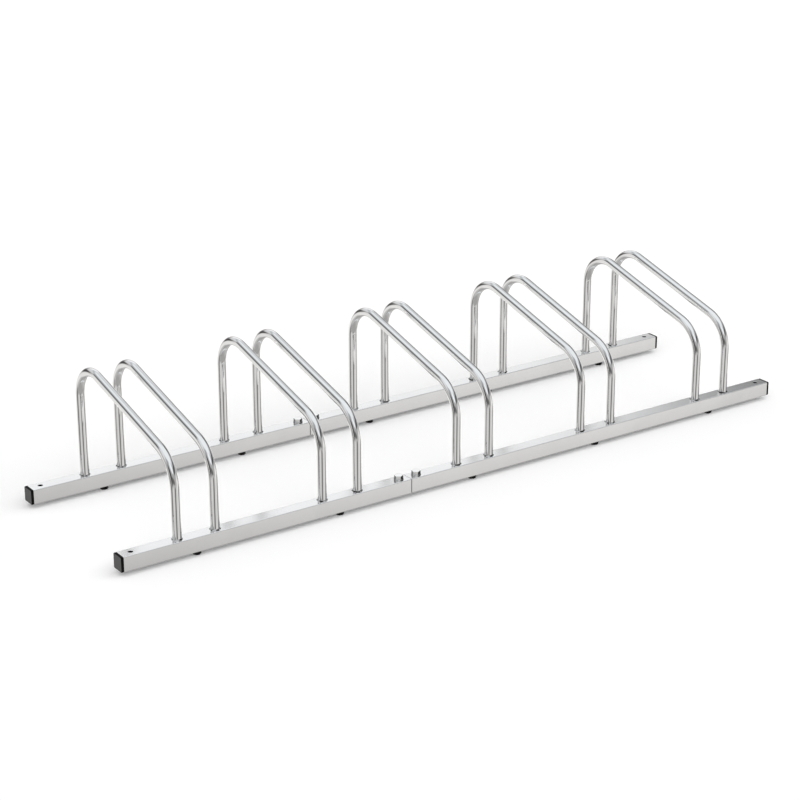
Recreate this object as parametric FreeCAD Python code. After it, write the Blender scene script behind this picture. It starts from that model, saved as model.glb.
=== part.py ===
import FreeCAD, Part
import math
import os

# Floor bike rack for five wheels. Two square rails lie on low feet. Five pairs of bent tube
# loops stand across them, and each pair holds one wheel between its two loops. Each rail is
# in two lengths, joined end to end over a sleeve inside.
# Frame: X along the rails, Y from the front rail to the rear rail, Z up. The origin is on the
# floor, below the middle of the rack. Lengths in mm, angles in degrees.

# Wheel places
left_section_place_count = 2
right_section_place_count = 3
place_pitch = 260.0             # from one wheel place to the next, along X
loop_gap = 66.0                 # between the centre lines of the two loops of a place
rail_overhang = 130.0           # from the outermost place to the cut end of the rail

# Rails
rail_spacing = 304.0            # between the centre lines of the front and the rear rail
rail_size = 25.0                # outer width and height of the square tube
rail_wall = 1.5
rail_corner_radius = 1.5        # outside corner of the square tube
least_corner_radius = 0.4       # of a square tube's inside corner, where the wall is thick
seam_gap = 0.6                  # left open between the two lengths of a rail

# Holes for fixing the rack to the ground
ground_hole_diameter = 8.0
ground_hole_inset = 18.0        # from the cut end of the rail to the hole's centre

# Wheel loops
loop_tube_diameter = 15.0
loop_tube_wall = 1.5
loop_height = 197.0             # from the rail's top face to the top of the loop
loop_slope = 15.0               # how far the long straight falls towards the front
rear_bend_radius = 52.5         # on the tube's centre line
front_bend_radius = 60.0        # on the tube's centre line
weld_leg = 1.8                  # side of the fillet weld, on the tube and on the rail
weld_waist = 0.38               # how much of the leg is left half way up the weld's hollow face

# Splice inside each seam
sleeve_length = 110.0
sleeve_wall = 2.0
sleeve_inner_radius = 0.5       # inside corner of the sleeve
sleeve_clearance = 0.2          # to the rail's inner wall, on each side
splice_bolt_offset = 17.0       # from the seam to the bolt on either side of it

# Fasteners of the splice
bolt_diameter = 8.0
bolt_length = 16.0              # below the head
bolt_head_height = 5.3
hex_across_flats = 13.0         # of the bolt's head and of the nut
hex_chamfer_angle = 30.0        # of the corners of both
bolt_tip_chamfer = 0.9
bolt_hole_clearance = 0.5       # round the bolt, in the rail and in the sleeve
washer_diameter = 16.0
washer_thickness = 1.6
washer_bore_clearance = 0.2     # round the bolt
nut_height = 6.5

# End caps
cap_flange_thickness = 4.5
cap_corner_radius = 2.5         # of the flange's four corners, seen along the rail
cap_edge_radius = 1.2           # round the flange's outer face
cap_plug_length = 10.0
cap_plug_wall = 2.0
cap_cavity_radius = 0.5         # corner of the plug's hollow
cap_plug_clearance = 0.1        # from the ribs to the rail's inner wall
cap_rib_count = 3
cap_rib_thickness = 1.0
cap_rib_depth = 0.9             # how far a rib stands out of the plug
cap_rib_margin = 0.75           # of the ribs' pitch, left at each end of the plug

# Feet
foot_height = 8.0               # from the floor to the rail's underside
foot_diameter = 15.0
foot_base_diameter = 13.6       # where the foot meets the floor, before its edge is rounded
foot_edge_radius = 1.5
foot_stem_diameter = 7.8
foot_stem_clearance = 0.1       # round the stem, in the rail's bottom wall
foot_barb_overhang = 0.7        # how far the barb stands out of the stem
foot_barb_clearance = 0.1       # from the barb to the rail's bottom wall
foot_barb_length = 4.0
foot_barb_tip_diameter = 5.0

# Worked out from the values above
rail_bottom = foot_height
rail_axis_height = rail_bottom + rail_size / 2
rail_top = rail_bottom + rail_size
rail_inner_size = rail_size - 2 * rail_wall
rail_inner_radius = max(rail_corner_radius - rail_wall, least_corner_radius)
rail_y = {"front": -rail_spacing / 2, "rear": rail_spacing / 2}

place_count = left_section_place_count + right_section_place_count
place_x = [(i - (place_count - 1) / 2) * place_pitch for i in range(place_count)]
seam_x = (place_x[left_section_place_count - 1] + place_x[left_section_place_count]) / 2
rail_end_x = place_x[-1] + rail_overhang

sleeve_size = rail_inner_size - 2 * sleeve_clearance
sleeve_top = rail_top - rail_wall      # the bolts pull the sleeve up against the rail's top wall
splice_bolt_x = [seam_x - splice_bolt_offset, seam_x + splice_bolt_offset]

up = FreeCAD.Vector(0, 0, 1)
along_x = FreeCAD.Vector(1, 0, 0)


def point(x, y, z):
    return FreeCAD.Vector(x, y, z)


def square_face(x, y, z, size, radius):
    """Square with round corners across the rail, with its centre at x, y, z."""
    half = size / 2
    flat = half - radius
    corner = radius * math.sqrt(0.5)
    edges = []
    for quarter in range(4):
        turn = math.radians(90 * quarter)

        def place(across, height, turn=turn):
            return point(x, y + across * math.cos(turn) - height * math.sin(turn),
                         z + across * math.sin(turn) + height * math.cos(turn))

        edges.append(Part.LineSegment(place(half, -flat), place(half, flat)).toShape())
        edges.append(Part.Arc(place(half, flat), place(flat + corner, flat + corner),
                              place(flat, half)).toShape())
    return Part.Face(Part.Wire(edges))


def square_bar(x_start, x_end, y, z, size, radius):
    """Solid square bar along X, with round corners."""
    return square_face(x_start, y, z, size, radius).extrude(along_x * (x_end - x_start))


def round_bar(x, y, z, diameter, height):
    """Upright round bar whose lower end is at x, y, z."""
    return Part.makeCylinder(diameter / 2, height, point(x, y, z), up)


def turned(x, y, outline):
    """Solid turned about the upright line at x, y from (radius, height) points and arcs.

    An outline entry with four numbers is an arc through a point in between: it gives that
    point, then the arc's end.
    """
    edges = []
    radius, height = outline[0]
    first = last = point(x + radius, y, height)
    for entry in outline[1:]:
        end = point(x + entry[-2], y, entry[-1])
        if len(entry) == 4:
            middle = point(x + entry[0], y, entry[1])
            edges.append(Part.Arc(last, middle, end).toShape())
        else:
            edges.append(Part.LineSegment(last, end).toShape())
        last = end
    edges.append(Part.LineSegment(last, first).toShape())
    return Part.Face(Part.Wire(edges)).revolve(point(x, y, 0), up, 360)


def rail_section(name, x_start, x_end, places):
    """One length of a rail, with its holes for the ground bolt, the splice bolt and the feet."""
    y = rail_y[name]
    outside = square_bar(x_start, x_end, y, rail_axis_height, rail_size, rail_corner_radius)
    inside = square_bar(x_start, x_end, y, rail_axis_height, rail_inner_size, rail_inner_radius)
    section = outside.cut(inside)

    is_left = x_start < seam_x
    ground_x = x_start + ground_hole_inset if is_left else x_end - ground_hole_inset
    bolt_x = splice_bolt_x[0] if is_left else splice_bolt_x[1]
    bolt_hole = bolt_diameter + 2 * bolt_hole_clearance
    stem_hole = foot_stem_diameter + 2 * foot_stem_clearance
    holes = [round_bar(ground_x, y, rail_bottom, ground_hole_diameter, rail_size),
             round_bar(bolt_x, y, rail_axis_height, bolt_hole, rail_size / 2)]
    for x in places:
        holes.append(round_bar(x, y, rail_bottom, stem_hole, rail_size / 2))
    return section.cut(holes)


def splice_sleeve(name):
    """Square tube inside the rail, across its seam."""
    y = rail_y[name]
    x_start = seam_x - sleeve_length / 2
    x_end = seam_x + sleeve_length / 2
    z = sleeve_top - sleeve_size / 2
    outside = square_bar(x_start, x_end, y, z, sleeve_size, rail_inner_radius)
    inside = square_bar(x_start, x_end, y, z, sleeve_size - 2 * sleeve_wall,
                        sleeve_inner_radius)
    hole = bolt_diameter + 2 * bolt_hole_clearance
    holes = [round_bar(x, y, z, hole, sleeve_size / 2) for x in splice_bolt_x]
    return outside.cut(inside).cut(holes)


def hexagon(x, y, z, height, chamfer_bottom):
    """Upright hexagonal prism with chamfered corners, standing at x, y, z."""
    corner_radius = hex_across_flats / math.sqrt(3)
    corners = [point(x + corner_radius * math.cos(math.radians(60 * i)),
                     y + corner_radius * math.sin(math.radians(60 * i)), z) for i in range(7)]
    prism = Part.Face(Part.makePolygon(corners)).extrude(up * height)

    # The chamfer is a cone that starts at the flats and cuts the corners down
    flat_radius = hex_across_flats / 2
    drop = (corner_radius - flat_radius) * math.tan(math.radians(hex_chamfer_angle))
    outline = [(0, z + height), (flat_radius, z + height), (corner_radius, z + height - drop)]
    if chamfer_bottom:
        outline += [(corner_radius, z + drop), (flat_radius, z), (0, z)]
    else:
        outline += [(corner_radius, z), (0, z)]
    return prism.common(turned(x, y, outline))


def splice_bolt(x, y):
    """Hex head bolt that goes down through washer, rail and sleeve into the captive nut."""
    head_z = rail_top + washer_thickness
    radius = bolt_diameter / 2
    tip_z = head_z - bolt_length
    shank = turned(x, y, [(0, head_z), (radius, head_z), (radius, tip_z + bolt_tip_chamfer),
                          (radius - bolt_tip_chamfer, tip_z), (0, tip_z)])
    return hexagon(x, y, head_z, bolt_head_height, chamfer_bottom=False).fuse(shank)


def splice_washer(x, y):
    """Plain washer under the bolt's head."""
    bore = bolt_diameter + 2 * washer_bore_clearance
    disc = round_bar(x, y, rail_top, washer_diameter, washer_thickness)
    return disc.cut(round_bar(x, y, rail_top, bore, washer_thickness))


def captive_nut(x, y):
    """Nut held against the underside of the sleeve's top wall."""
    z = sleeve_top - sleeve_wall - nut_height
    nut = hexagon(x, y, z, nut_height, chamfer_bottom=True)
    return nut.cut(round_bar(x, y, z, bolt_diameter, nut_height))


def tube_ring(centre, direction):
    """Ring across the loop's tube, facing along it."""
    radius = loop_tube_diameter / 2
    outer = Part.Wire(Part.makeCircle(radius, centre, direction))
    inner = Part.Wire(Part.makeCircle(radius - loop_tube_wall, centre, direction))
    return Part.Face(outer).cut(Part.Face(inner))


def wheel_loop(x):
    """One bent tube, from the rear rail over its two bends to the front rail."""
    slope = math.radians(loop_slope)
    rear_y = rail_y["rear"]
    front_y = rail_y["front"]
    top = rail_top + loop_height - loop_tube_diameter / 2

    # Rear bend: from upright to the falling straight
    rear_turn = 90 + loop_slope
    rear_centre = point(x, rear_y - rear_bend_radius, top - rear_bend_radius)
    rear_foot = point(x, rear_y, rail_top)
    rear_start = point(x, rear_y, rear_centre.z)
    falling = point(0, -math.cos(slope), -math.sin(slope))
    outward = point(0, -math.sin(slope), math.cos(slope))
    rear_end = rear_centre + outward * rear_bend_radius

    # Front bend: from the falling straight to upright
    front_turn = 90 - loop_slope
    tangent = front_bend_radius * math.tan(math.radians(front_turn) / 2)
    corner = rear_end + falling * ((rear_end.y - front_y) / math.cos(slope))
    front_start = corner - falling * tangent
    front_end = corner - up * tangent
    front_centre = front_end + point(0, front_bend_radius, 0)
    front_foot = point(x, front_y, rail_top)

    rear_leg = tube_ring(rear_foot, up).extrude(rear_start - rear_foot)
    rear_bend = tube_ring(rear_start, up).revolve(rear_centre, along_x, rear_turn)
    straight = tube_ring(rear_end, falling).extrude(front_start - rear_end)
    front_bend = tube_ring(front_start, falling).revolve(front_centre, along_x, front_turn)
    front_leg = tube_ring(front_end, -up).extrude(front_foot - front_end)
    return rear_leg.fuse([rear_bend, straight, front_bend, front_leg]).removeSplitter()


def weld_bead(x, y):
    """Fillet weld round the foot of a loop, hollowed a little as it cools."""
    tube_radius = loop_tube_diameter / 2
    hollow = weld_waist * weld_leg
    return turned(x, y, [(tube_radius, rail_top), (tube_radius + weld_leg, rail_top),
                         (tube_radius + hollow, rail_top + hollow,
                          tube_radius, rail_top + weld_leg)])


def end_cap(name, side):
    """Plastic cap on the cut end of a rail: a flange outside, a ribbed hollow plug inside."""
    y = rail_y[name]
    z = rail_axis_height
    rail_end = side * rail_end_x
    outer_face = rail_end + side * cap_flange_thickness
    flange = square_bar(rail_end, outer_face, y, z, rail_size, cap_corner_radius)
    outer_side = max(flange.Faces, key=lambda face: side * face.CenterOfMass.x)
    flange = flange.makeFillet(cap_edge_radius, outer_side.Edges)

    rib_size = rail_inner_size - 2 * cap_plug_clearance
    plug_size = rib_size - 2 * cap_rib_depth
    plug_end = rail_end - side * cap_plug_length
    plug = square_bar(rail_end, plug_end, y, z, plug_size, rail_inner_radius)
    cap = flange.fuse(plug)
    rib_pitch = cap_plug_length / (cap_rib_count - 1 + 2 * cap_rib_margin)
    for i in range(cap_rib_count):
        rib_start = rail_end - side * rib_pitch * (i + cap_rib_margin)
        rib_end = rib_start - side * cap_rib_thickness
        cap = cap.fuse(square_bar(rib_start, rib_end, y, z, rib_size, rail_inner_radius))
    cavity = square_bar(rail_end, plug_end, y, z, plug_size - 2 * cap_plug_wall,
                        cap_cavity_radius)
    return cap.cut(cavity).removeSplitter()


def foot(x, y):
    """Round foot with a stem and a barb that snaps into the rail's bottom wall."""
    base_radius = foot_base_diameter / 2
    stem_radius = foot_stem_diameter / 2
    barb_radius = stem_radius + foot_barb_overhang
    barb_z = rail_bottom + rail_wall + foot_barb_clearance
    tip_z = barb_z + foot_barb_length
    body = turned(x, y, [(0, 0), (base_radius, 0), (foot_diameter / 2, rail_bottom),
                         (stem_radius, rail_bottom), (stem_radius, barb_z),
                         (barb_radius, barb_z), (foot_barb_tip_diameter / 2, tip_z), (0, tip_z)])
    floor_edge = [edge for edge in body.Edges if edge.BoundBox.ZMax < rail_bottom / 2]
    return body.makeFillet(foot_edge_radius, floor_edge)


def build_nodes():
    """Every piece of the rack, by the name of its node."""
    nodes = {}
    sections = {"left": (-rail_end_x, seam_x - seam_gap / 2, place_x[:left_section_place_count]),
                "right": (seam_x + seam_gap / 2, rail_end_x, place_x[left_section_place_count:])}

    for name, y in rail_y.items():
        for side, (x_start, x_end, places) in sections.items():
            nodes[f"rail_{name}_{side}"] = rail_section(name, x_start, x_end, places)
            leg_x = [x + offset for x in places for offset in (-loop_gap / 2, loop_gap / 2)]
            nodes[f"welds_{name}_{side}"] = Part.makeCompound([weld_bead(x, y) for x in leg_x])
        nodes[f"splice_sleeve_{name}"] = splice_sleeve(name)
        nodes[f"end_cap_{name}_left"] = end_cap(name, -1)
        nodes[f"end_cap_{name}_right"] = end_cap(name, 1)
        for i, x in enumerate(place_x):
            nodes[f"foot_{name}_{i + 1}"] = foot(x, y)

    for i, x in enumerate(place_x):
        nodes[f"wheel_loop_{i + 1}_left"] = wheel_loop(x - loop_gap / 2)
        nodes[f"wheel_loop_{i + 1}_right"] = wheel_loop(x + loop_gap / 2)

    seats = [(x, y) for y in rail_y.values() for x in splice_bolt_x]
    nodes["splice_bolts"] = Part.makeCompound([splice_bolt(x, y) for x, y in seats])
    nodes["splice_washers"] = Part.makeCompound([splice_washer(x, y) for x, y in seats])
    nodes["captive_nuts"] = Part.makeCompound([captive_nut(x, y) for x, y in seats])
    return nodes


os.makedirs("parts", exist_ok=True)
for node, shape in build_nodes().items():
    shape.exportStep(f"parts/{node}.step")
    print(node, "solids", len(shape.Solids), "volume", round(shape.Volume, 1))
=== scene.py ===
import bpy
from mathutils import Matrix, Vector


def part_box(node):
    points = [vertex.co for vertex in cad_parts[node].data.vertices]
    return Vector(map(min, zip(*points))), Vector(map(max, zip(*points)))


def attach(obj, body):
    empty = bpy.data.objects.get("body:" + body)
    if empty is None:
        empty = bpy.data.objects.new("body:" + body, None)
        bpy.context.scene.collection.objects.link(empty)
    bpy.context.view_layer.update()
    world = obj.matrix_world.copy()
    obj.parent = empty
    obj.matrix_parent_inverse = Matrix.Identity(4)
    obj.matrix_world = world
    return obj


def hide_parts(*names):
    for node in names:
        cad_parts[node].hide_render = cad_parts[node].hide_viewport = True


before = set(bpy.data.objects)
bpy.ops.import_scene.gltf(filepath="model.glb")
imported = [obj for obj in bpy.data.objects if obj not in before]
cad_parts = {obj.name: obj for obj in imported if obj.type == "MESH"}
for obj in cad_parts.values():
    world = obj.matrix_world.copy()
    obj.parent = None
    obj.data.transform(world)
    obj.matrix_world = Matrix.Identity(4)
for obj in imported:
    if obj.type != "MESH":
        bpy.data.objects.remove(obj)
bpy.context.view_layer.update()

import math

import bpy
from mathutils import Vector

# Floor bike rack for five wheels, in metres and in the frame's own axes: X along the rails,
# Y from the front rail to the rear rail, Z up from the floor.

rack = {
    "body": "root",
    "rails": ["front", "rear"],
    "sections": ["left", "right"],
    "places": 5,
    "smoothAngle": 32,          # degrees, edges above this stay crisp
    "flatWeight": 100,          # how firmly large flats keep their own normal
}

cameraView = {
    "place": (-1.9630, -2.78224, 1.39207),
    "azimuth": -34.662,         # degrees, 0 looks along +Y
    "elevation": 20.942,        # degrees above the horizon
    "lens": 97.18,              # mm
    "sensor": 36.0,             # mm
    "sight": 50.0,              # metres, how far it sees
}


def makeCamera():
    data = bpy.data.cameras.new("camera")
    data.lens = cameraView["lens"]
    data.sensor_width = cameraView["sensor"]
    data.clip_end = cameraView["sight"]
    camera = bpy.data.objects.new("camera", data)
    camera.location = cameraView["place"]
    tilt = math.radians(90 - cameraView["elevation"])
    camera.rotation_euler = (tilt, 0, math.radians(cameraView["azimuth"]))
    bpy.context.scene.collection.objects.link(camera)
    bpy.context.scene.camera = camera


# Nodes

def pick(sockets, key):  # a socket that shows on its node, by its name or its place
    shown = [socket for socket in sockets if socket.enabled]
    return shown[key] if isinstance(key, int) else [socket for socket in shown if socket.name == key][0]


class Wire:
    def __init__(self, tree, socket):
        self.tree = tree
        self.socket = socket

    def add(self, kind, settings=None, inputs=None, output=0):  # any node: settings first, then sockets
        node = self.tree.nodes.new(kind)
        for name, value in (settings or {}).items():
            setattr(node, name, value)
        for key, value in (inputs or {}).items():
            socket = pick(node.inputs, key)
            if isinstance(value, Wire):
                self.tree.links.new(value.socket, socket)
            else:
                socket.default_value = value
        return Wire(self.tree, pick(node.outputs, output) if len(node.outputs) else None)

    def maths(self, operation, *values):
        return self.add("ShaderNodeMath", {"operation": operation}, dict(enumerate(values)))

    def __add__(self, other):
        return self.maths("ADD", self, other)

    def __sub__(self, other):
        return self.maths("SUBTRACT", self, other)

    def __rsub__(self, other):
        return self.maths("SUBTRACT", other, self)

    def __mul__(self, other):
        return self.maths("MULTIPLY", self, other)

    def __truediv__(self, other):
        return self.maths("DIVIDE", self, other)

    def __pow__(self, other):
        return self.maths("POWER", self, other)

    __radd__ = __add__
    __rmul__ = __mul__

    def fade(self, start, end, low=0.0, high=1.0):  # soft step from low at start to high at end
        inputs = {"Value": self, "From Min": start, "From Max": end, "To Min": low, "To Max": high}
        return self.add("ShaderNodeMapRange", {"interpolation_type": "SMOOTHSTEP"}, inputs)

    def parts(self):
        axes = self.add("ShaderNodeSeparateXYZ", None, {"Vector": self}).socket.node.outputs
        return [Wire(self.tree, axis) for axis in axes]


def grey(level, warmth=0.0):
    return (level * (1 + warmth), level, level * (1 - warmth), 1)


def blendColour(start, amount, first, second):
    return start.add("ShaderNodeMix", {"data_type": "RGBA"}, {"Factor": amount, "A": first, "B": second})


def rayKind(start, kind):
    return start.add("ShaderNodeLightPath", None, None, kind)


def ownPlace(start):  # where a point of a piece is, in metres
    return start.add("ShaderNodeTexCoord", None, None, "Object")


def facing(start):  # the way that a face looks
    return start.add("ShaderNodeNewGeometry", None, None, "Normal")


# Studio: white to the camera, soft light on the floor, cards and flags for the metal to mirror

studio = {
    "white": 1.0,
    "ceiling": 0.92,
    "ceilingStart": 36,         # degrees above the horizon
    "ceilingEnd": 58,
    "walls": 0.42,
    "floor": 0.38,
    "floorStart": 22,           # degrees below the horizon
    "floorEnd": 40,
    "cool": (0.970, 1.0, 1.030, 1),     # tint of the ceiling and of what is high up
    "warm": (1.012, 1.0, 0.984, 1),     # tint of the floor and of what is low down
    "coolAbove": 45,            # degrees
    "warmBelow": 0,
    "returned": 0.08,           # what the rack's metal throws back onto the floor
}

# lights on matt surfaces, as long strips beside the rails: angle up from the front, spread, brightness
strips = {
    "front": (0, 30, 1.5),
    "front high": (42, 32, 2.40),
    "overhead": (82, 32, 1.42),
    "rear high": (125, 50, 0.37),
    "rear": (172, 30, 1.0),
}

# azimuth and elevation of the middle, half width and half height in degrees, softness, brightness
cards = {
    "far floor": (0, -15, 400, 10, 0.5, 0.56),
    "side floor": (110, -62, 75, 18, 0.4, 0.52),
    "floor below": (0, -92, 400, 20, 0.4, 0.47),
    "rear left floor": (-157, -30, 27, 20, 0.3, 0.84),
    "backdrop": (128, -22, 58, 20, 0.15, 1.12),
    "rear left card": (-136, -2, 12, 12, 0.3, 0.84),
    "rear wall": (-172, 27, 34, 12, 0.4, 0.72),
    "rear left flag": (-131, 25, 10, 9, 0.4, 0.10),
    "rear low flag": (-165, 3, 20, 9, 0.4, 0.08),
    "left tall card": (-104, 36, 15, 22, 0.4, 0.78),
    "left flag": (-74, 5, 16, 20, 0.4, 0.06),
    "left flag top": (-62, 43, 9, 8, 0.4, 0.38),
    "left floor flag": (-106, -20, 15, 12, 0.4, 0.16),
    "left floor": (-122, -42, 22, 9, 0.4, 0.54),
    "front left floor card": (-61, -20, 12, 9, 0.4, 0.76),
    "front left low flag": (-40, 4, 26, 8, 0.4, 0.14),
    "front floor flag": (-18, -20, 13, 13, 0.4, 0.14),
    "front high card": (-22, 38, 28, 14, 0.3, 0.95),
    "front right flag": (50, 28, 42, 9, 0.4, 0.07),
    "front floor card": (6, -20, 12, 12, 0.4, 0.68),
    "front right low card": (44, -8, 22, 22, 0.6, 0.90),
    "right low flag": (64, -20, 15, 14, 0.25, 0.22),
    "right rear flag": (113, 26, 14, 18, 0.3, 0.06),
    "rear card": (153, 28, 22, 16, 0.3, 0.97),
    "rear ceiling gap": (148, 56, 28, 7, 0.4, 0.70),
    "right end flag": (127, 20, 11.2, 10, 0.2, 0.13),
}


def mirroredLevel(start, azimuth, elevation):  # ceiling, walls and floor, with the cards laid over them
    level = elevation.fade(studio["ceilingStart"], studio["ceilingEnd"],
                           studio["walls"], studio["ceiling"])
    ground = elevation.fade(-studio["floorEnd"], -studio["floorStart"], 1, 0)
    level = level + ground * (studio["floor"] - level)
    for cardAzimuth, cardElevation, halfWidth, halfHeight, softness, brightness in cards.values():
        aside = start.maths("WRAP", azimuth - cardAzimuth, 180, -180) / halfWidth
        above = (elevation - cardElevation) / halfHeight
        distance = (aside ** 2 + above ** 2) ** 0.5
        mask = distance.fade(1 - softness, 1 + softness, 1, 0)
        level = level + mask * (brightness - level)
    return level


def mattLevel(start, angle):  # the strips
    level = 0
    for middleAngle, spread, brightness in strips.values():
        level = level + start.maths("ABSOLUTE", angle - middleAngle).fade(0, spread, brightness, 0)
    return level


def makeStudio():
    world = bpy.data.worlds.new("studio")
    world.use_nodes = True
    world.cycles.sampling_method = "NONE"
    world.node_tree.nodes.clear()
    start = Wire(world.node_tree, None)
    x, y, z = start.add("ShaderNodeTexCoord", None, None, "Generated").parts()  # the way a ray goes
    forward = y * -1
    azimuth = start.maths("DEGREES", start.maths("ARCTAN2", x, forward))
    elevation = start.maths("DEGREES", start.maths("ARCSINE", z))
    level = mirroredLevel(start, azimuth, elevation)
    matt = mattLevel(start, start.maths("DEGREES", start.maths("ARCTAN2", z, forward)))
    seen = rayKind(start, "Is Camera Ray")
    mirrored = rayKind(start, "Is Glossy Ray")
    mirrored = start.maths("MAXIMUM", mirrored, rayKind(start, "Is Transmission Ray"))
    fromFloor = start.maths("GREATER_THAN", rayKind(start, "Diffuse Depth"), 0.5)
    returned = studio["returned"] * start.maths("GREATER_THAN", z, 0.0)     # from above the horizon alone
    level = level + fromFloor * (returned - level)
    strength = matt + mirrored * (level - matt)
    strength = strength + seen * (studio["white"] - strength)
    high = elevation.fade(studio["warmBelow"], studio["coolAbove"])
    tint = blendColour(start, high, studio["warm"], studio["cool"])
    tint = blendColour(start, mirrored, grey(1), tint)
    light = start.add("ShaderNodeBackground", None, {"Color": tint, "Strength": strength})
    start.add("ShaderNodeOutputWorld", None, {"Surface": light})
    bpy.context.scene.world = world
    bpy.context.scene.view_settings.view_transform = "Standard"


floorPlane = {
    "half": 12.0,
    "drop": 0.0002,             # below the feet
    "albedo": 0.85,
    "glow": 0.17,               # seen by the camera alone, lifts the bare floor to white
    "between": 0.08,            # painted light: the glow is raised between the rails, standing in for the light that the loops throw down
    "betweenWide": (0.10, 0.16),    # from the middle, where it starts to fade and where it has gone
    "betweenLong": (0.60, 0.80),
}


def makeFloor():
    half = floorPlane["half"]
    corners = [(-half, -half), (half, -half), (half, half), (-half, half)]
    mesh = bpy.data.meshes.new("floor")
    mesh.from_pydata([(x, y, -floorPlane["drop"]) for x, y in corners], [], [(0, 1, 2, 3)])
    floor = bpy.data.objects.new("floor", mesh)
    bpy.context.scene.collection.objects.link(floor)
    material = bpy.data.materials.new("paleFloor")
    material.use_nodes = True
    material.node_tree.nodes.clear()
    start = Wire(material.node_tree, None)
    matt = start.add("ShaderNodeBsdfDiffuse", None, {"Color": grey(floorPlane["albedo"])})
    x, y = ownPlace(start).parts()[:2]
    # painted light: the camera glow is raised between the rails
    wide = start.maths("ABSOLUTE", y).fade(*floorPlane["betweenWide"], 1, 0)
    long = start.maths("ABSOLUTE", x).fade(*floorPlane["betweenLong"], 1, 0)
    strength = floorPlane["glow"] + floorPlane["between"] * (wide * long)
    glow = start.add("ShaderNodeEmission", None,
                     {"Color": grey(1), "Strength": rayKind(start, "Is Camera Ray") * strength})
    both = start.add("ShaderNodeAddShader", None, {0: matt, 1: glow})
    start.add("ShaderNodeOutputMaterial", None, {"Surface": both})
    mesh.materials.append(material)
    floor.visible_glossy = False


# Materials

def newMaterial(name):
    material = bpy.data.materials.new(name)
    material.use_nodes = True
    material.node_tree.nodes.clear()
    return material, Wire(material.node_tree, None)


def noise(start, place, scale, kind, stretch=(1, 1, 1)):  # kind: its detail and its roughness
    detail, roughness = kind
    spot = start.add("ShaderNodeMapping", None, {"Vector": place, "Scale": stretch})
    return start.add("ShaderNodeTexNoise", None,
                     {"Vector": spot, "Scale": scale, "Detail": detail, "Roughness": roughness})


def finishMaterial(start, fixed, colour, roughness, height, bumpDepth):
    normal = start.add("ShaderNodeBump", None, {"Strength": 1.0, "Distance": bumpDepth, "Height": height})
    inputs = {"Base Color": colour, "Roughness": roughness, "Normal": normal}
    inputs.update(fixed)
    surface = start.add("ShaderNodeBsdfPrincipled", None, inputs)
    start.add("ShaderNodeOutputMaterial", None, {"Surface": surface})


zinc = {
    "tube": {"light": grey(0.91), "dark": grey(0.86), "rough": 0.015, "spread": 0.02, "bump": 0.000002},
    "rail": {"light": grey(0.93), "dark": grey(0.89), "rough": 0.19, "spread": 0.08, "bump": 0.000005},
    # the fastener's side colour is painted shade
    "bolt": {"light": grey(0.96), "dark": grey(0.90), "rough": 0.08, "spread": 0.05, "bump": 0.000005,
             "side": grey(0.22), "paintedLitFlats": (-0.643, -0.766)},     # the way the two flats face that stay bright, as painted light
    "sleeve": {"light": grey(0.80), "dark": grey(0.70), "rough": 0.26, "spread": 0.12, "bump": 0.000014},
    "marks": 900.0,             # of the drawing, per metre across it
    "markNoise": (4.0, 0.6),
    "markLength": 0.006,        # how much slower they change along it
    "clouds": 14.0,             # of the coating, per metre
    "cloudNoise": (5.0, 0.55),
    "cloudFade": (0.35, 0.70),
    "cloudShare": 0.7,          # of the patina, and spots are the rest
    "spots": 336.0,
    "spotNoise": (2.0, 0.5),
    "spotFade": (0.45, 0.75),
    "roughMiddle": 0.25,        # taken off the noise, so that it roughens some places and smooths others
    "bore": grey(0.012),        # bare steel inside the rails and in their holes
    "boreRough": 0.7,
    "boreStart": 0.0003,        # below the plated skin
    "boreFull": 0.0006,
    "sawCut": 0.0005,           # width of bare edge on each side of the seam
    "uprightFrom": 0.7,         # of the corner's radius, where an upright face begins
    "sideTop": 0.91,            # painted shade: share of its brightness that an upright face keeps, near its top edge
    "sideBottom": 0.83,         # and near the floor, where the painted shade is darkest
    "topStart": 0.55,           # how squarely a bolt's face looks up, from its sides in painted shade to its bright top
    "topFull": 0.90,
    "litFlatStart": 0.75,          # the same for the two flats that stay bright, as painted light
    "litFlatFull": 0.95,
}


def railMasks(start, place):  # bare steel, on an upright face, and height from bottom to top
    low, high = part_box("rail_front_left")
    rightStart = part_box("rail_front_right")[0].x
    flat = (high.z - low.z) / 2 - rail["corner"]
    x, y, z = place.parts()
    aside = start.maths("ABSOLUTE", start.maths("ABSOLUTE", y) + (low.y + high.y) / 2) - flat
    above = start.maths("ABSOLUTE", z - (low.z + high.z) / 2) - flat
    aside = start.maths("MAXIMUM", aside, 0.0)
    above = start.maths("MAXIMUM", above, 0.0)
    depth = rail["corner"] - (aside ** 2 + above ** 2) ** 0.5
    upright = aside.fade(rail["corner"] * zinc["uprightFrom"], rail["corner"])
    fromSeam = start.maths("ABSOLUTE", x - (high.x + rightStart) / 2) - (rightStart - high.x) / 2
    cut = fromSeam.fade(zinc["sawCut"] / 2, zinc["sawCut"], 1, 0)
    bare = start.maths("MAXIMUM", depth.fade(zinc["boreStart"], zinc["boreFull"]), cut * upright)
    return bare, upright, (z - low.z) / (high.z - low.z)


def railColourAndPaintedShade(start, colour, bare, upright, height):  # painted shade on the upright faces, darker towards the floor, and bare inside
    # painted shade: upright faces are darkened, more towards the floor
    paintedShading = zinc["sideBottom"] + (zinc["sideTop"] - zinc["sideBottom"]) * height
    paintedShading = 1 - upright * (1 - paintedShading)
    paintedShadeGrey = start.add("ShaderNodeCombineXYZ", None, {0: paintedShading, 1: paintedShading, 2: paintedShading})
    paintedShadeColour = start.add("ShaderNodeMix", {"data_type": "RGBA", "blend_type": "MULTIPLY"},
                       {"Factor": 1.0, "A": colour, "B": paintedShadeGrey})
    return blendColour(start, bare, paintedShadeColour, zinc["bore"])


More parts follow.
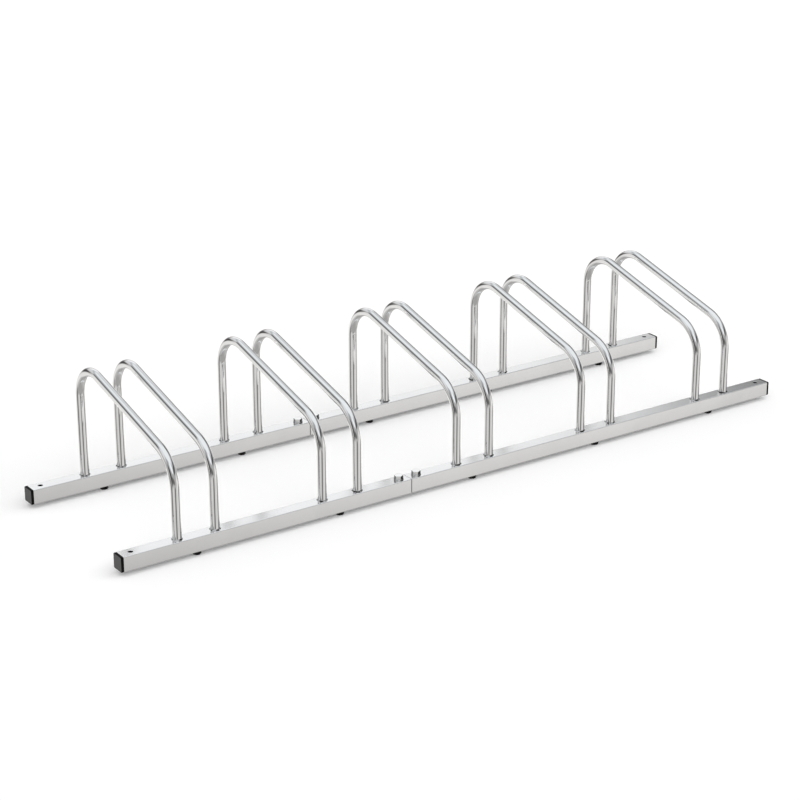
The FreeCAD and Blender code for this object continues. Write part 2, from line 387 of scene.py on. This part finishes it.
def boltPaintedShade(start, look, colour):  # painted shade on the sides, but for the top and the two flats kept bright as painted light
    # painted shade on every side face, painted light on two flats that face one way
    x, y, z = facing(start).parts()
    litFlatX, litFlatY = look["paintedLitFlats"]
    paintedLitFlats = start.maths("ABSOLUTE", x * litFlatX + y * litFlatY).fade(zinc["litFlatStart"], zinc["litFlatFull"])
    upward = start.maths("ABSOLUTE", z).fade(zinc["topStart"], zinc["topFull"])
    return blendColour(start, start.maths("MAXIMUM", upward, paintedLitFlats), look["side"], colour)


def straightPlace(start):  # along a bent tube, and across it
    along = start.add("ShaderNodeAttribute", {"attribute_name": "alongTube"}, None, "Fac")
    across = start.add("ShaderNodeAttribute", {"attribute_name": "acrossTube"}, None, "Vector").parts()
    return start.add("ShaderNodeCombineXYZ", None, {0: along, 1: across[0], 2: across[1]})


def zincMaterial(name, look, straightened=False, drawAxis=0, hasBore=False):
    material, start = newMaterial(name)
    place = ownPlace(start)
    drawn = straightPlace(start) if straightened else place
    stretch = [1.0, 1.0, 1.0]
    stretch[drawAxis] = zinc["markLength"]
    marks = noise(start, drawn, zinc["marks"], zinc["markNoise"], stretch)
    clouds = noise(start, place, zinc["clouds"], zinc["cloudNoise"])
    spots = noise(start, place, zinc["spots"], zinc["spotNoise"])
    patina = (clouds.fade(*zinc["cloudFade"]) * zinc["cloudShare"]
              + spots.fade(*zinc["spotFade"]) * (1 - zinc["cloudShare"]))
    colour = blendColour(start, patina, look["light"], look["dark"])
    roughness = look["rough"] + look["spread"] * ((clouds + marks) * 0.5 - zinc["roughMiddle"])
    # painted shade and painted light on the faces of bolts, washers and nuts
    if "side" in look:
        colour = boltPaintedShade(start, look, colour)
    if hasBore:
        bare, upright, height = railMasks(start, place)
        colour = railColourAndPaintedShade(start, colour, bare, upright, height)
        roughness = roughness + bare * (zinc["boreRough"] - roughness)
    finishMaterial(start, {"Metallic": 1.0}, colour, roughness, (marks + spots) * 0.5, look["bump"])
    return material


weldLook = {
    "light": grey(0.62),
    "heat": (0.035, 0.032, 0.030, 1),
    "heatFade": (0.47, 0.54),   # of the patches, from the light metal to what the heat has darkened
    "rough": 0.08,
    "spread": 0.08,
    "roughMiddle": 0.3,
    "grain": 420.0,             # per metre
    "grainNoise": (4.0, 0.6),
    "patches": 170.0,
    "patchNoise": (1.0, 0.5),
    "bump": 0.00004,
}


def weldMaterial(name, look):
    material, start = newMaterial(name)
    place = ownPlace(start)
    grain = noise(start, place, look["grain"], look["grainNoise"])
    patches = noise(start, place, look["patches"], look["patchNoise"])
    colour = blendColour(start, patches.fade(*look["heatFade"]), look["light"], look["heat"])
    roughness = look["rough"] + look["spread"] * (grain - look["roughMiddle"])
    finishMaterial(start, {"Metallic": 1.0}, colour, roughness, grain, look["bump"])
    return material


polymers = {
    "cap": {"dark": grey(0.003), "light": grey(0.007), "rough": 0.50, "spread": 0.16, "shine": 0.06,
            "grain": 1700.0, "bump": 0.000035, "end": grey(0.095, 0.01)},
    "foot": {"dark": grey(0.004), "light": grey(0.010), "rough": 0.66, "spread": 0.20, "shine": 0.15,
             "grain": 900.0, "bump": 0.00006},
    "grainNoise": (2.0, 0.6),
    "bloomSize": 22,            # times the grain's
    "bloomNoise": (4.0, 0.55),
    "bloomFade": (0.35, 0.75),
    "roughMiddle": 0.5,
    "endFade": (0.80, 0.97),    # how squarely a cap's face looks along the rail: from black to grey
}


def polymerMaterial(name, look):
    material, start = newMaterial(name)
    place = ownPlace(start)
    grain = noise(start, place, look["grain"], polymers["grainNoise"])
    bloom = noise(start, place, look["grain"] / polymers["bloomSize"], polymers["bloomNoise"])
    colour = blendColour(start, bloom.fade(*polymers["bloomFade"]), look["dark"], look["light"])
    if "end" in look:
        endways = start.maths("ABSOLUTE", facing(start).parts()[0])
        colour = blendColour(start, endways.fade(*polymers["endFade"]), colour, look["end"])
    roughness = look["rough"] + look["spread"] * (bloom - polymers["roughMiddle"])
    fixed = {"Metallic": 0.0, "Specular IOR Level": look["shine"]}
    finishMaterial(start, fixed, colour, roughness, grain, look["bump"])
    return material


def makeMaterials():
    return {
        "tube": zincMaterial("tubeZinc", zinc["tube"], straightened=True),
        "rail": zincMaterial("railZinc", zinc["rail"], hasBore=True),
        "bolt": zincMaterial("fastenerZinc", zinc["bolt"], drawAxis=2),
        "sleeve": zincMaterial("sleeveZinc", zinc["sleeve"]),
        "weld": weldMaterial("weldMetal", weldLook),
        "cap": polymerMaterial("capPlastic", polymers["cap"]),
        "foot": polymerMaterial("footRubber", polymers["foot"]),
    }


# Meshes

def middle(low, high):  # of a box, on each axis
    return [(a + b) / 2 for a, b in zip(low, high)]


def circle(x, y, z, radius, steps):
    angles = [2 * math.pi * i / steps for i in range(steps)]
    return [Vector((x + radius * math.cos(a), y + radius * math.sin(a), z)) for a in angles]


def square(x, y, z, size, radius, steps):  # square with round corners, across the X axis
    flat = size / 2 - radius
    points = []
    for quarter in range(4):
        for i in range(steps + 1):
            angle = math.pi / 2 * (quarter + i / steps)
            corner = math.pi / 2 * (quarter + 0.5)
            across = math.copysign(flat, math.cos(corner)) + radius * math.cos(angle)
            height = math.copysign(flat, math.sin(corner)) + radius * math.sin(angle)
            points.append(Vector((x, y + across, z + height)))
    return points


def loft(name, rings, closed=False):
    count = len(rings[0])
    points = [point for ring in rings for point in ring]
    faces = []
    last = len(rings) if closed else len(rings) - 1
    for i in range(last):
        here = i * count
        there = (i + 1) % len(rings) * count
        for j in range(count):
            k = (j + 1) % count
            faces.append((here + j, here + k, there + k, there + j))
    if not closed:
        faces.append(tuple(reversed(range(count))))
        faces.append(tuple(range((len(rings) - 1) * count, len(rings) * count)))
    mesh = bpy.data.meshes.new(name)
    mesh.from_pydata(points, [], faces)
    mesh.validate()
    return outward(mesh)


def volume(mesh):
    mesh.calc_loop_triangles()
    total = 0.0
    for triangle in mesh.loop_triangles:
        a, b, c = [mesh.vertices[i].co for i in triangle.vertices]
        total += a.dot(b.cross(c)) / 6
    return total


def outward(mesh):
    if volume(mesh) < 0:
        mesh.flip_normals()
    return mesh


def asPiece(name, mesh):
    piece = bpy.data.objects.new(name, mesh)
    bpy.context.scene.collection.objects.link(piece)
    return piece


def plainMesh(piece, name):  # the evaluated shape as a mesh of its own
    piece.update_tag()
    bpy.context.view_layer.update()
    shape = piece.evaluated_get(bpy.context.evaluated_depsgraph_get())
    mesh = bpy.data.meshes.new_from_object(shape)
    mesh.name = name
    return mesh


def shade(piece, weighted=True):
    for polygon in piece.data.polygons:
        polygon.use_smooth = True
    piece.data.set_sharp_from_angle(angle=math.radians(rack["smoothAngle"]))
    if weighted:
        weights = piece.modifiers.new("weights", "WEIGHTED_NORMAL")
        weights.keep_sharp = True
        weights.weight = rack["flatWeight"]
        mesh = plainMesh(piece, piece.data.name)
        piece.modifiers.remove(weights)
        piece.data = mesh


def addPiece(name, mesh, material, nodes, weighted=True):
    mesh.materials.clear()
    mesh.materials.append(material)
    piece = asPiece(name, mesh)
    shade(piece, weighted)
    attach(piece, rack["body"])
    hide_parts(*nodes)


def newTree(name, sockets):
    tree = bpy.data.node_groups.new(name, "GeometryNodeTree")
    tree.interface.new_socket(name="Geometry", in_out="INPUT", socket_type="NodeSocketGeometry")
    for label, kind in sockets.items():
        tree.interface.new_socket(name=label, in_out="INPUT", socket_type=kind)
    tree.interface.new_socket(name="Geometry", in_out="OUTPUT", socket_type="NodeSocketGeometry")
    given = tree.nodes.new("NodeGroupInput").outputs
    return tree, Wire(tree, None), {socket.name: Wire(tree, socket) for socket in given if socket.name}


def closeTree(tree, start, geometry, material):
    real = start.add("GeometryNodeRealizeInstances", None, {"Geometry": geometry})
    dressed = start.add("GeometryNodeSetMaterial", None, {"Geometry": real, "Material": material})
    start.add("NodeGroupOutput", None, {"Geometry": dressed})


def runTree(name, mesh, tree, values, finishing=None):  # the tree's result as a plain mesh
    piece = asPiece(name, mesh)
    modifier = piece.modifiers.new("tree", "NODES")
    modifier.node_group = tree
    for socket in tree.interface.items_tree:
        if socket.in_out == "INPUT" and socket.name in values:
            modifier[socket.identifier] = values[socket.name]
    if finishing:
        finishing(piece)
    made = plainMesh(piece, name)
    bpy.data.objects.remove(piece)
    return made


# Wheel loops: one bent tube each, swept along its centre line

wheelLoop = {
    "diameter": 0.015,
    "wall": 0.0015,
    "slope": 15.0,              # degrees, of the long straight
    "rearBend": 0.0525,         # radius on the centre line
    "frontBend": 0.060,
    "sides": 40,
    "bendSteps": 22,
    "straightCuts": 1,          # extra rings on every stretch
}


def loopTree():
    lengths = {name: "NodeSocketFloat" for name in ("Rear bend", "Front bend", "Diameter")}
    counts = {name: "NodeSocketInt" for name in ("Sides", "Bend steps", "Cuts")}
    tree, start, given = newTree("bentTube", {**lengths, **counts, "Material": "NodeSocketMaterial"})
    corners = start.add("GeometryNodeMeshToCurve", None, {"Mesh": given["Geometry"]})
    y = start.add("GeometryNodeInputPosition").parts()[1]
    isRear = y.maths("GREATER_THAN", y, 0.0)
    radius = isRear * given["Rear bend"] + (1 - isRear) * given["Front bend"]
    bent = start.add("GeometryNodeFilletCurve", {"mode": "POLY"},
                     {"Curve": corners, "Count": given["Bend steps"], "Radius": radius})
    cut = start.add("GeometryNodeSubdivideCurve", None, {"Curve": bent, "Cuts": given["Cuts"]})
    length = start.add("GeometryNodeSplineParameter", None, None, "Length")
    marked = start.add("GeometryNodeStoreNamedAttribute", {"data_type": "FLOAT", "domain": "POINT"},
                       {"Geometry": cut, "Name": "alongTube", "Value": length})
    ring = start.add("GeometryNodeCurvePrimitiveCircle", None,
                     {"Resolution": given["Sides"], "Radius": given["Diameter"] * 0.5})
    place = start.add("GeometryNodeInputPosition")
    profile = start.add("GeometryNodeStoreNamedAttribute", {"data_type": "FLOAT_VECTOR", "domain": "POINT"},
                        {"Geometry": ring, "Name": "acrossTube", "Value": place})
    tube = start.add("GeometryNodeCurveToMesh", None, {"Curve": marked, "Profile Curve": profile})
    closeTree(tree, start, tube, given["Material"])
    return tree


def hollow(piece):
    wall = piece.modifiers.new("wall", "SOLIDIFY")
    wall.thickness = wheelLoop["wall"]
    wall.offset = -1
    wall.use_even_offset = True


def loopCorners(low, high):  # where the centre line's straights would meet
    x = middle(low, high)[0]
    radius = wheelLoop["diameter"] / 2
    frontY = low.y + radius
    rearY = high.y - radius
    slope = math.radians(wheelLoop["slope"])
    bendCentre = high.z - radius - wheelLoop["rearBend"]
    rearTop = bendCentre + wheelLoop["rearBend"] * (1 / math.cos(slope) + math.tan(slope))
    frontTop = rearTop - (rearY - frontY) * math.tan(slope)
    return [(x, rearY, low.z), (x, rearY, rearTop), (x, frontY, frontTop), (x, frontY, low.z)]


def makeLoops(materials):
    tree = loopTree()
    values = {"Rear bend": wheelLoop["rearBend"], "Front bend": wheelLoop["frontBend"],
              "Diameter": wheelLoop["diameter"], "Sides": wheelLoop["sides"],
              "Bend steps": wheelLoop["bendSteps"], "Cuts": wheelLoop["straightCuts"],
              "Material": materials["tube"]}
    for i in range(1, rack["places"] + 1):
        for side in rack["sections"]:
            node = f"wheel_loop_{i}_{side}"
            path = bpy.data.meshes.new(node)
            path.from_pydata(loopCorners(*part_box(node)), [(0, 1), (1, 2), (2, 3)], [])
            mesh = outward(runTree(node, path, tree, values, hollow))
            addPiece(f"wheelLoop_{i}_{side}", mesh, materials["tube"], [node], weighted=False)
    print("wheel loops made")


# Rails: square tube in two lengths each, with the holes that the real one has

rail = {
    "wall": 0.0015,
    "corner": 0.0015,
    "innerCorner": 0.0004,
    "cornerSteps": 10,
    "edge": 0.00025,            # bevel on the cut ends and on the holes' rims
    "groundHole": 0.008,
    "groundInset": 0.018,       # from the cut end
    "boltHole": 0.009,
    "stemHole": 0.008,
    "holeSteps": 48,
    "overrun": 0.002,           # how far a cutter runs on past both ends of its hole
    "oneWall": 0.0045,          # depth that is cut where a hole goes through one wall alone
}


def railTube(name, low, high):
    y, z = middle(low, high)[1:]
    size = high.z - low.z
    bore = size - 2 * rail["wall"]
    edge = rail["edge"]
    corner = rail["corner"]
    inner = rail["innerCorner"]
    profile = [(low.x, size - 2 * edge, corner - edge), (low.x + edge, size, corner),
               (high.x - edge, size, corner), (high.x, size - 2 * edge, corner - edge),
               (high.x, bore, inner), (low.x, bore, inner)]
    rings = [square(x, y, z, width, radius, rail["cornerSteps"]) for x, width, radius in profile]
    return loft(name, rings, closed=True)


def holeCutter(x, y, top, bottom, diameter, flareTop, flareBottom):
    edge = rail["edge"]
    over = rail["overrun"]
    steps = rail["holeSteps"]
    profile = [(bottom - over, diameter / 2 + (edge + over if flareBottom else 0))]
    if flareBottom:
        profile.append((bottom + edge, diameter / 2))
    if flareTop:
        profile.append((top - edge, diameter / 2))
    profile.append((top + over, diameter / 2 + (edge + over if flareTop else 0)))
    return [circle(x, y, z, radius, steps) for z, radius in profile]


def railHoles(name, section, low, high):  # for the ground, the bolts and the feet's stems
    y = middle(low, high)[1]
    groundX = low.x + rail["groundInset"] if section == "left" else high.x - rail["groundInset"]
    cutters = [holeCutter(groundX, y, high.z, low.z, rail["groundHole"], True, True)]
    inside = high.z - rail["oneWall"]
    for seat in boltSeats():
        if low.x < seat.x < high.x and low.y < seat.y < high.y:
            cutters.append(holeCutter(seat.x, y, high.z, inside, rail["boltHole"], True, False))
    inside = low.z + rail["oneWall"]
    for i in range(1, rack["places"] + 1):
        x = middle(*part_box(f"foot_{name}_{i}"))[0]
        if low.x < x < high.x:
            cutters.append(holeCutter(x, y, inside, low.z, rail["stemHole"], False, True))
    return cutters


def cutHoles(name, tube, cutters):
    piece = asPiece(name, tube)
    tools = [asPiece("cutter", loft("cutter", rings)) for rings in cutters]
    for tool in tools:
        cut = piece.modifiers.new("hole", "BOOLEAN")
        cut.solver = "EXACT"
        cut.object = tool
    mesh = plainMesh(piece, name)
    for spent in [piece, *tools]:
        bpy.data.objects.remove(spent)
    return mesh


def makeRails(materials):
    for name in rack["rails"]:
        for section in rack["sections"]:
            node = f"rail_{name}_{section}"
            low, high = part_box(node)
            mesh = cutHoles(node, railTube(node, low, high), railHoles(name, section, low, high))
            addPiece(f"rail_{name}_{section}.tube", mesh, materials["rail"], [node])
    print("rails made")


# Welds: a rippled fillet bead round the foot of each loop

weld = {
    "leg": 0.0014,
    "waist": 0.38,              # share of the leg left half way up its hollow face
    "ripples": 24,
    "ripple": 0.00010,          # depth
    "edgeShare": 0.35,          # of that depth, left at the bead's edges
    "lag": 1.1,                 # radians that a ripple trails there
    "stepsPerRipple": 6,
    "faceSteps": 6,
    "sink": 0.0002,             # into the rail and the tube, so that no gap shows
    "firstSeed": 3,             # of the front row, and the rear row takes the next
}


def beadMesh():
    leg = weld["leg"]
    sink = weld["sink"]
    tube = wheelLoop["diameter"] / 2
    steps = weld["ripples"] * weld["stepsPerRipple"]
    rings = []
    for i in range(steps):
        angle = 2 * math.pi * i / steps
        profile = [(tube - sink, -sink), (tube + leg, -sink)]
        for j in range(weld["faceSteps"] + 1):
            share = j / weld["faceSteps"]
            bow = 4 * share * (1 - share)
            hollowIn = (0.5 - weld["waist"]) * leg * bow
            phase = weld["ripples"] * angle + weld["lag"] * (2 * share - 1) ** 2
            depth = weld["ripple"] * (weld["edgeShare"] + (1 - weld["edgeShare"]) * bow)
            lift = depth * math.sin(phase) - hollowIn
            profile.append((tube + leg * (1 - share) + lift, leg * share + lift))
        profile.append((tube - sink, leg))
        rings.append([Vector((r * math.cos(angle), r * math.sin(angle), z)) for r, z in profile])
    return loft("bead", rings, closed=True)


def seatTree(name):  # one source shape on every point, each turned by chance
    tree, start, given = newTree(name, {"Source": "NodeSocketObject", "Seed": "NodeSocketInt",
                                        "Least turn": "NodeSocketFloat", "Most turn": "NodeSocketFloat",
                                        "Material": "NodeSocketMaterial"})
    source = start.add("GeometryNodeObjectInfo", {"transform_space": "ORIGINAL"},
                       {"Object": given["Source"]}, "Geometry")
    turn = start.add("FunctionNodeRandomValue", {"data_type": "FLOAT"},
                     {"Min": given["Least turn"], "Max": given["Most turn"], "Seed": given["Seed"]})
    upright = start.add("ShaderNodeCombineXYZ", None, {"Z": turn})
    points = start.add("GeometryNodeMeshToPoints", None, {"Mesh": given["Geometry"]})
    seated = start.add("GeometryNodeInstanceOnPoints", None,
                       {"Points": points, "Instance": source, "Rotation": upright})
    closeTree(tree, start, seated, given["Material"])
    return tree


def seatOn(name, seats, source, tree, material, seed, turns=(0, 360)):
    points = bpy.data.meshes.new(name)
    points.from_pydata(seats, [], [])
    holder = asPiece("source", source)
    least, most = [math.radians(turn) for turn in turns]
    values = {"Source": holder, "Seed": seed, "Least turn": least, "Most turn": most, "Material": material}
    mesh = runTree(name, points, tree, values)
    bpy.data.objects.remove(holder)
    return mesh


def loopSeats(low, high):  # where loops stand on the rail that these welds belong to
    seats = []
    for i in range(1, rack["places"] + 1):
        for side in rack["sections"]:
            x = middle(*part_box(f"wheel_loop_{i}_{side}"))[0]
            if low.x < x < high.x:
                seats.append((x, middle(low, high)[1], low.z))
    return seats


def makeWelds(materials, tree):
    metal = materials["weld"]
    for seed, name in enumerate(rack["rails"], weld["firstSeed"]):
        for section in rack["sections"]:
            node = f"welds_{name}_{section}"
            mesh = seatOn(node, loopSeats(*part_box(node)), beadMesh(), tree, metal, seed)
            addPiece(f"welds_{name}_{section}.beads", mesh, metal, [node], weighted=False)
    print("welds made")


# Splice: bolts, washers and nuts at the two seams

fastener = {
    "diameter": 0.008,
    "length": 0.016,            # below the head
    "headHeight": 0.0053,
    "crown": 0.0008,            # width of the outer ring of a head's flat top
    "acrossFlats": 0.013,
    "chamfer": 30.0,            # degrees
    "faceSteps": 12,            # points along one side of the hexagon
    "pitch": 0.00125,
    "threadDepth": 0.0006,
    "threadSteps": 8,           # rings per turn of the thread
    "tip": 0.0009,
    "washer": 0.016,
    "washerBore": 0.0084,
    "washerHeight": 0.0016,
    "washerEdge": 0.0003,
    "nutHeight": 0.0065,
    "nutEdge": 0.0004,          # bevel at both ends of a nut's bore
    "round": 72,                # points round a circle
    "turns": (47, 53),          # degrees between the way a flat faces and the rail, least and most
    "firstSeed": 11,            # of the bolts, and washers and nuts take the next two
}


def boltSeats():  # on the rail's top face, under each washer
    low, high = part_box("splice_washers")
    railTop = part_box("rail_front_left")[1].z
    half = fastener["washer"] / 2
    return [Vector((x, y, railTop)) for y in (low.y + half, high.y - half)
            for x in (low.x + half, high.x - half)]


def roundRing(z, radius):
    return circle(0, 0, z, radius, fastener["round"])


def hexRadius(angle):
    half = math.pi / 6          # half the angle that one side takes up
    side = (angle + half) % (2 * half) - half
    return fastener["acrossFlats"] / 2 / math.cos(side)


def hexRing(z, chamfered=0):  # chamfered: 1 at the top, -1 at the bottom, 0 not
    flat = fastener["acrossFlats"] / 2
    fall = math.tan(math.radians(fastener["chamfer"]))
    steps = 6 * fastener["faceSteps"]
    points = []
    for i in range(steps):
        angle = 2 * math.pi * i / steps
        radius = hexRadius(angle)
        height = z - chamfered * (radius - flat) * fall
        points.append(Vector((radius * math.cos(angle), radius * math.sin(angle), height)))
    return points


def threadRing(z, crest, fade):  # fade: 0 where the thread starts to 1 where it has its full depth
    points = []
    for i in range(fastener["round"]):
        turn = i / fastener["round"]
        wave = abs((z / fastener["pitch"] - turn) % 1 * 2 - 1)
        radius = crest - fade * fastener["threadDepth"] * wave
        angle = turn * 2 * math.pi
        points.append(Vector((radius * math.cos(angle), radius * math.sin(angle), z)))
    return points


def boltMesh():
    flat = fastener["acrossFlats"] / 2
    crest = fastener["diameter"] / 2
    head = fastener["washerHeight"]
    top = head + fastener["headHeight"]
    end = head - fastener["length"]
    tipStart = end + fastener["tip"]
    count = round((head - tipStart) / fastener["pitch"] * fastener["threadSteps"])
    rings = [roundRing(top, flat - fastener["crown"]), roundRing(top, flat), hexRing(top, 1),
             hexRing(head), roundRing(head, crest)]
    for i in range(1, count + 1):
        z = head - (head - tipStart) * i / count
        rings.append(threadRing(z, crest, min(1, i / fastener["threadSteps"])))
    rings.append(roundRing(end, crest - fastener["tip"]))
    return loft("bolt", rings)


def washerMesh():
    outer = fastener["washer"] / 2
    bore = fastener["washerBore"] / 2
    edge = fastener["washerEdge"]
    height = fastener["washerHeight"]
    profile = [(0, bore), (0, outer - edge / 2), (edge / 2, outer), (height - edge, outer),
               (height, outer - edge), (height, bore)]
    return loft("washer", [roundRing(z, radius) for z, radius in profile], closed=True)


def nutMesh(top):
    bottom = top - fastener["nutHeight"]
    flat = fastener["acrossFlats"] / 2
    bore = fastener["diameter"] / 2
    edge = fastener["nutEdge"]
    rings = [roundRing(top, flat), hexRing(top, 1), hexRing(bottom, -1), roundRing(bottom, flat),
             roundRing(bottom, bore + edge), roundRing(bottom + edge, bore),
             roundRing(top - edge, bore), roundRing(top, bore + edge)]
    return loft("nut", rings, closed=True)


def makeFasteners(materials, tree):
    metal = materials["bolt"]
    seats = boltSeats()
    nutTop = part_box("captive_nuts")[1].z - seats[0].z
    sources = [("bolts", "splice_bolts", boltMesh()), ("washers", "splice_washers", washerMesh()),
               ("nuts", "captive_nuts", nutMesh(nutTop))]
    for seed, (name, node, source) in enumerate(sources, fastener["firstSeed"]):
        mesh = seatOn(node, seats, source, tree, metal, seed, fastener["turns"])
        addPiece(f"splice.{name}", mesh, metal, [node])
    print("fasteners made")


def dressSleeves(materials):  # hidden inside the rails, so the solid from the frame does for them
    for name in rack["rails"]:
        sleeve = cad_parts[f"splice_sleeve_{name}"]
        sleeve.data.materials.clear()
        sleeve.data.materials.append(materials["sleeve"])
    print("sleeves dressed")


# End caps: a flange with a rounded edge, a ribbed hollow plug behind it

endCap = {
    "flange": 0.0045,
    "corner": 0.0025,           # of the flange, seen along the rail
    "edge": 0.0012,             # radius round the outer face
    "edgeSteps": 6,
    "plugWall": 0.002,
    "plugGap": 0.0001,
    "ribs": 3,
    "ribThickness": 0.001,
    "ribDepth": 0.0009,
    "ribMargin": 0.75,          # of the ribs' pitch, at each end of the plug
    "cavityCorner": 0.0005,
    "cornerSteps": 8,
}


def capMesh(name, low, high, side):
    y, z = middle(low, high)[1:]
    size = high.z - low.z
    inner = rail["innerCorner"]
    outerFace = high.x if side > 0 else low.x
    plugEnd = low.x if side > 0 else high.x
    railEnd = outerFace - side * endCap["flange"]
    ribSize = size - 2 * rail["wall"] - 2 * endCap["plugGap"]
    plugSize = ribSize - 2 * endCap["ribDepth"]
    profile = []
    for i in range(endCap["edgeSteps"] + 1):
        angle = math.pi / 2 * i / endCap["edgeSteps"]
        inset = endCap["edge"] * (1 - math.sin(angle))
        depth = endCap["edge"] * (1 - math.cos(angle))
        profile.append((outerFace - side * depth, size - 2 * inset, endCap["corner"] - inset))
    profile += [(railEnd, size, endCap["corner"]), (railEnd, plugSize, inner)]
    length = abs(railEnd - plugEnd)
    pitch = length / (endCap["ribs"] - 1 + 2 * endCap["ribMargin"])
    for i in range(endCap["ribs"]):
        ribStart = railEnd - side * pitch * (i + endCap["ribMargin"])
        ribStop = ribStart - side * endCap["ribThickness"]
        profile += [(ribStart, plugSize, inner), (ribStart, ribSize, inner),
                    (ribStop, ribSize, inner), (ribStop, plugSize, inner)]
    cavity = plugSize - 2 * endCap["plugWall"]
    profile += [(plugEnd, plugSize, inner), (plugEnd, cavity, endCap["cavityCorner"]),
                (railEnd, cavity, endCap["cavityCorner"])]
    rings = [square(x, y, z, width, corner, endCap["cornerSteps"]) for x, width, corner in profile]
    return loft(name, rings)


def makeCaps(materials):
    for name in rack["rails"]:
        for side, section in zip((-1, 1), rack["sections"]):
            node = f"end_cap_{name}_{section}"
            mesh = capMesh(node, *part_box(node), side)
            addPiece(f"endCap_{name}_{section}", mesh, materials["cap"], [node])
    print("end caps made")


# Feet: round rubber buttons, held by a barbed stem

foot = {
    "diameter": 0.015,
    "base": 0.0136,
    "edge": 0.0015,
    "edgeSteps": 6,
    "height": 0.008,
    "stem": 0.0078,
    "stemLength": 0.0016,
    "barbOverhang": 0.0007,
    "barbTip": 0.005,
    "rim": 0.0003,
    "round": 56,
}


def footMesh(name, low, high):
    x, y = middle(low, high)[:2]
    base = foot["base"] / 2
    wide = foot["diameter"] / 2
    height = foot["height"]
    stem = foot["stem"] / 2
    barb = height + foot["stemLength"]
    profile = []
    for i in range(foot["edgeSteps"] + 1):
        angle = math.pi / 2 * i / foot["edgeSteps"]
        radius = base - foot["edge"] * (1 - math.sin(angle))
        profile.append((radius, foot["edge"] * (1 - math.cos(angle))))
    profile += [(wide, height - foot["rim"]), (wide - foot["rim"], height), (stem, height),
                (stem, barb), (stem + foot["barbOverhang"], barb), (foot["barbTip"] / 2, high.z - low.z)]
    rings = [circle(x, y, low.z + up, radius, foot["round"]) for radius, up in profile]
    return loft(name, rings)


def makeFeet(materials):
    for name in rack["rails"]:
        for i in range(1, rack["places"] + 1):
            node = f"foot_{name}_{i}"
            mesh = footMesh(node, *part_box(node))
            addPiece(f"foot_{name}_{i}.rubber", mesh, materials["foot"], [node])
    print("feet made")


def makeRack():
    makeCamera()
    makeStudio()
    makeFloor()
    print("camera, studio and floor made")
    materials = makeMaterials()
    print("materials made")
    seats = seatTree("seated")
    makeLoops(materials)
    makeRails(materials)
    makeWelds(materials, seats)
    makeFasteners(materials, seats)
    dressSleeves(materials)
    makeCaps(materials)
    makeFeet(materials)


makeRack()
